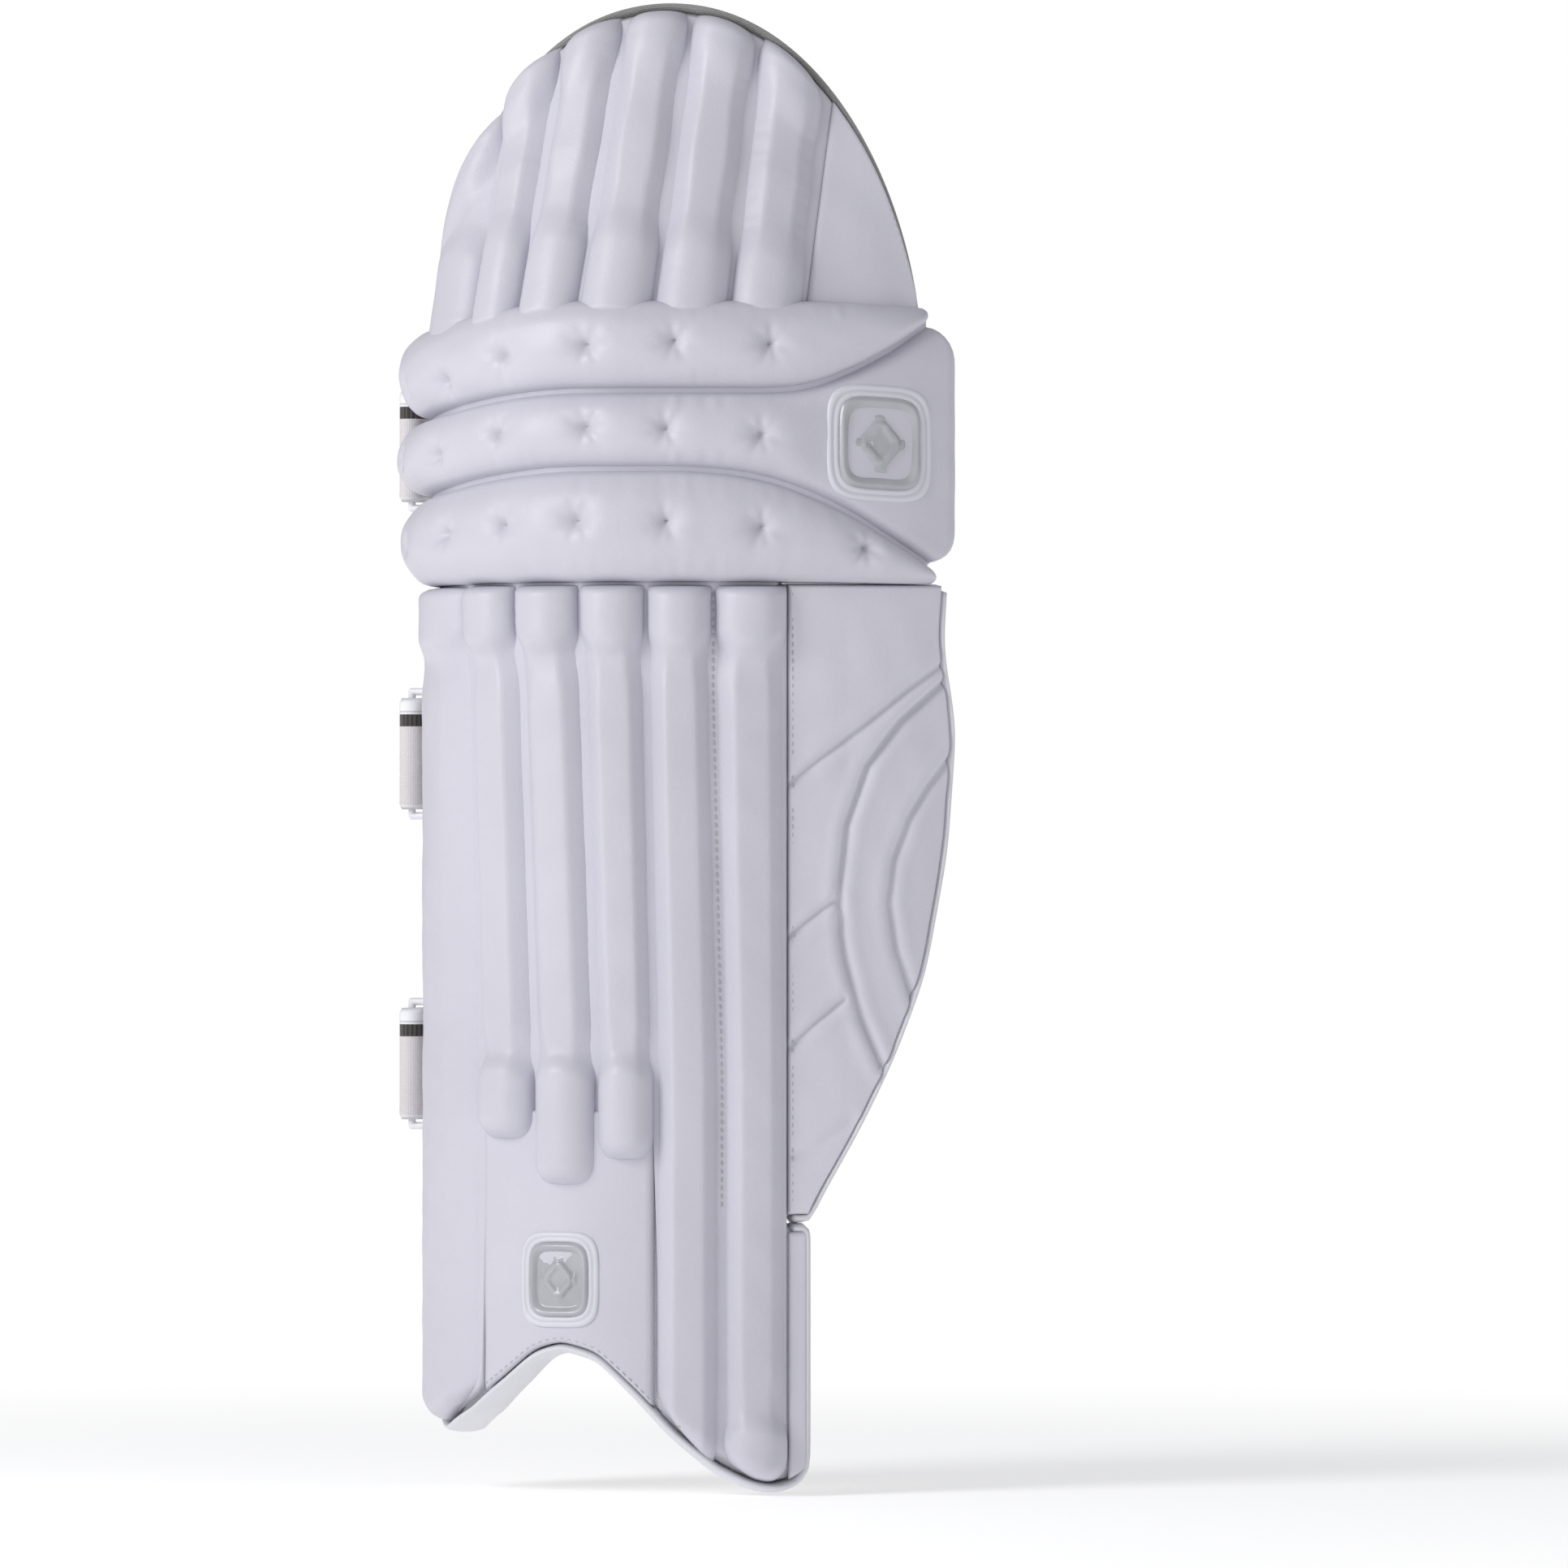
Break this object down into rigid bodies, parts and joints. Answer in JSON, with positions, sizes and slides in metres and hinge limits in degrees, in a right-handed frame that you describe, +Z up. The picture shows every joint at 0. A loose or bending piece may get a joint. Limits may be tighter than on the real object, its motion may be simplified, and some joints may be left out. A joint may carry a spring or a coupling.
{
  "type": "cricket leg pad",
  "caption": "Padded leg guard with upright shin rolls, tufted knee rolls, a rolled top hat, a side wing, quilted lining and strap-and-ring fastenings.",
  "frame": {"origin": "axis of the wearer's leg, level with the lowest point of the pad", "axes": "+Z up the leg, front of the pad and instep towards -Y, side wing towards +X"},
  "size_m": [0.2923, 0.1987, 0.728],
  "materials": {
    "panel_leather": "satin, softly creased coated leather",
    "roll_leather": "satin, softly creased coated leather",
    "foam_backing": "matt, foam and board core in white cloth",
    "lining_satin": "soft satin sheen, quilted",
    "bolster_satin": "soft satin sheen",
    "bolster_mesh": "matt pinhole mesh",
    "edge_binding": "matt woven tape",
    "piping_white": "satin piping",
    "badge_frame": "satin moulded relief",
    "badge_plastic": "glossy clear-grey moulding",
    "strap_cloth": "fine mesh weave with a ribbed stripe",
    "strap_satin": "smooth satin hook face",
    "black_webbing": "ribbed woven tape",
    "strap_patch": "satin moulded patch",
    "ring_plastic": "smooth moulded plastic",
    "tab_cloth": "matt woven tape",
    "cane": "plain split cane",
    "tuft_thread": "twisted thread"
  },
  "bodies": {
    "shin": {"shin_backing": "foam_backing", "shin_roll_1": "roll_leather", "shin_roll_2": "roll_leather", "shin_roll_3": "roll_leather", "shin_roll_4": "roll_leather", "shin_roll_5": "roll_leather", "shin_roll_6": "roll_leather", "shin_canes": "cane", "shin_lining": "lining_satin", "shin_binding": "piping_white", "instep_panel": "panel_leather", "instep_badge_frame": "badge_frame", "instep_badge": "badge_plastic", "inner_bolster": "bolster_satin", "outer_bolster": "bolster_satin", "mesh_bolster": "bolster_mesh", "ankle_bolster": "bolster_satin", "instep_bolster": "bolster_satin", "calf_ring_tab": "strap_cloth", "ankle_ring_tab": "strap_cloth", "calf_strap_anchor": "black_webbing", "ankle_strap_anchor": "black_webbing", "calf_strap": "strap_cloth", "ankle_strap": "strap_cloth", "calf_strap_patch": "strap_patch"},
    "wing": {"side_wing": "panel_leather", "wing_binding": "edge_binding", "wing_lining": "lining_satin", "side_tab": "tab_cloth"},
    "knee": {"knee_backing": "foam_backing", "knee_roll_top": "roll_leather", "knee_roll_middle": "roll_leather", "knee_roll_bottom": "roll_leather", "knee_badge_frame": "badge_frame", "knee_badge": "badge_plastic", "knee_cup": "bolster_mesh", "knee_tufts": "tuft_thread", "knee_ring_tab": "strap_cloth", "knee_strap_anchor": "black_webbing", "knee_strap": "strap_cloth"},
    "top_hat": {"hat_backing": "foam_backing", "hat_roll_1": "roll_leather", "hat_roll_2": "roll_leather", "hat_roll_3": "roll_leather", "hat_roll_4": "roll_leather", "hat_roll_5": "roll_leather", "hat_roll_6": "roll_leather", "hat_canes": "cane", "hat_side_panel": "panel_leather", "hat_lining": "lining_satin", "hat_binding": "edge_binding", "hat_badge": "badge_plastic"},
    "knee_ring": {"knee_ring": "ring_plastic"},
    "calf_ring": {"calf_ring": "ring_plastic"},
    "ankle_ring": {"ankle_ring": "ring_plastic"},
    "knee_tail": {"knee_strap_tail": "strap_satin"},
    "calf_tail": {"calf_strap_tail": "strap_satin"},
    "ankle_tail": {"ankle_strap_tail": "strap_satin"}
  },
  "joints": [
    {"name": "knee_flex", "type": "hinge", "parent": "shin", "child": "knee", "pos_m": [0, 0.01, 0.444], "axis": [-1, 0, 0], "range_deg": [0, 12], "stiffness_Nm_per_rad": 3},
    {"name": "hat_flex", "type": "hinge", "parent": "knee", "child": "top_hat", "pos_m": [0, 0.01, 0.582], "axis": [-1, 0, 0], "range_deg": [0, 18], "stiffness_Nm_per_rad": 2},
    {"name": "wing_flex", "type": "hinge", "parent": "shin", "child": "wing", "pos_m": [0.10209, -0.06567, 0.288], "axis": [0, 0, -1], "range_deg": [0, 20], "stiffness_Nm_per_rad": 1},
    {"name": "knee_ring_swivel", "type": "hinge", "parent": "knee", "child": "knee_ring", "pos_m": [-0.103, -0.03003, 0.513], "axis": [0, 0, 1], "range_deg": [-5, 5]},
    {"name": "knee_tail_peel", "type": "hinge", "parent": "knee", "child": "knee_tail", "pos_m": [-0.1271, -0.03003, 0.513], "axis": [0, 0, 1], "range_deg": [0, 110]},
    {"name": "calf_ring_swivel", "type": "hinge", "parent": "shin", "child": "calf_ring", "pos_m": [-0.103, -0.03003, 0.36097], "axis": [0, 0, 1], "range_deg": [-5, 5]},
    {"name": "calf_tail_peel", "type": "hinge", "parent": "shin", "child": "calf_tail", "pos_m": [-0.1271, -0.03003, 0.36097], "axis": [0, 0, 1], "range_deg": [0, 110]},
    {"name": "ankle_ring_swivel", "type": "hinge", "parent": "shin", "child": "ankle_ring", "pos_m": [-0.103, -0.03003, 0.20779], "axis": [0, 0, 1], "range_deg": [-5, 5]},
    {"name": "ankle_tail_peel", "type": "hinge", "parent": "shin", "child": "ankle_tail", "pos_m": [-0.1271, -0.03003, 0.20779], "axis": [0, 0, 1], "range_deg": [0, 110]}
  ]
}
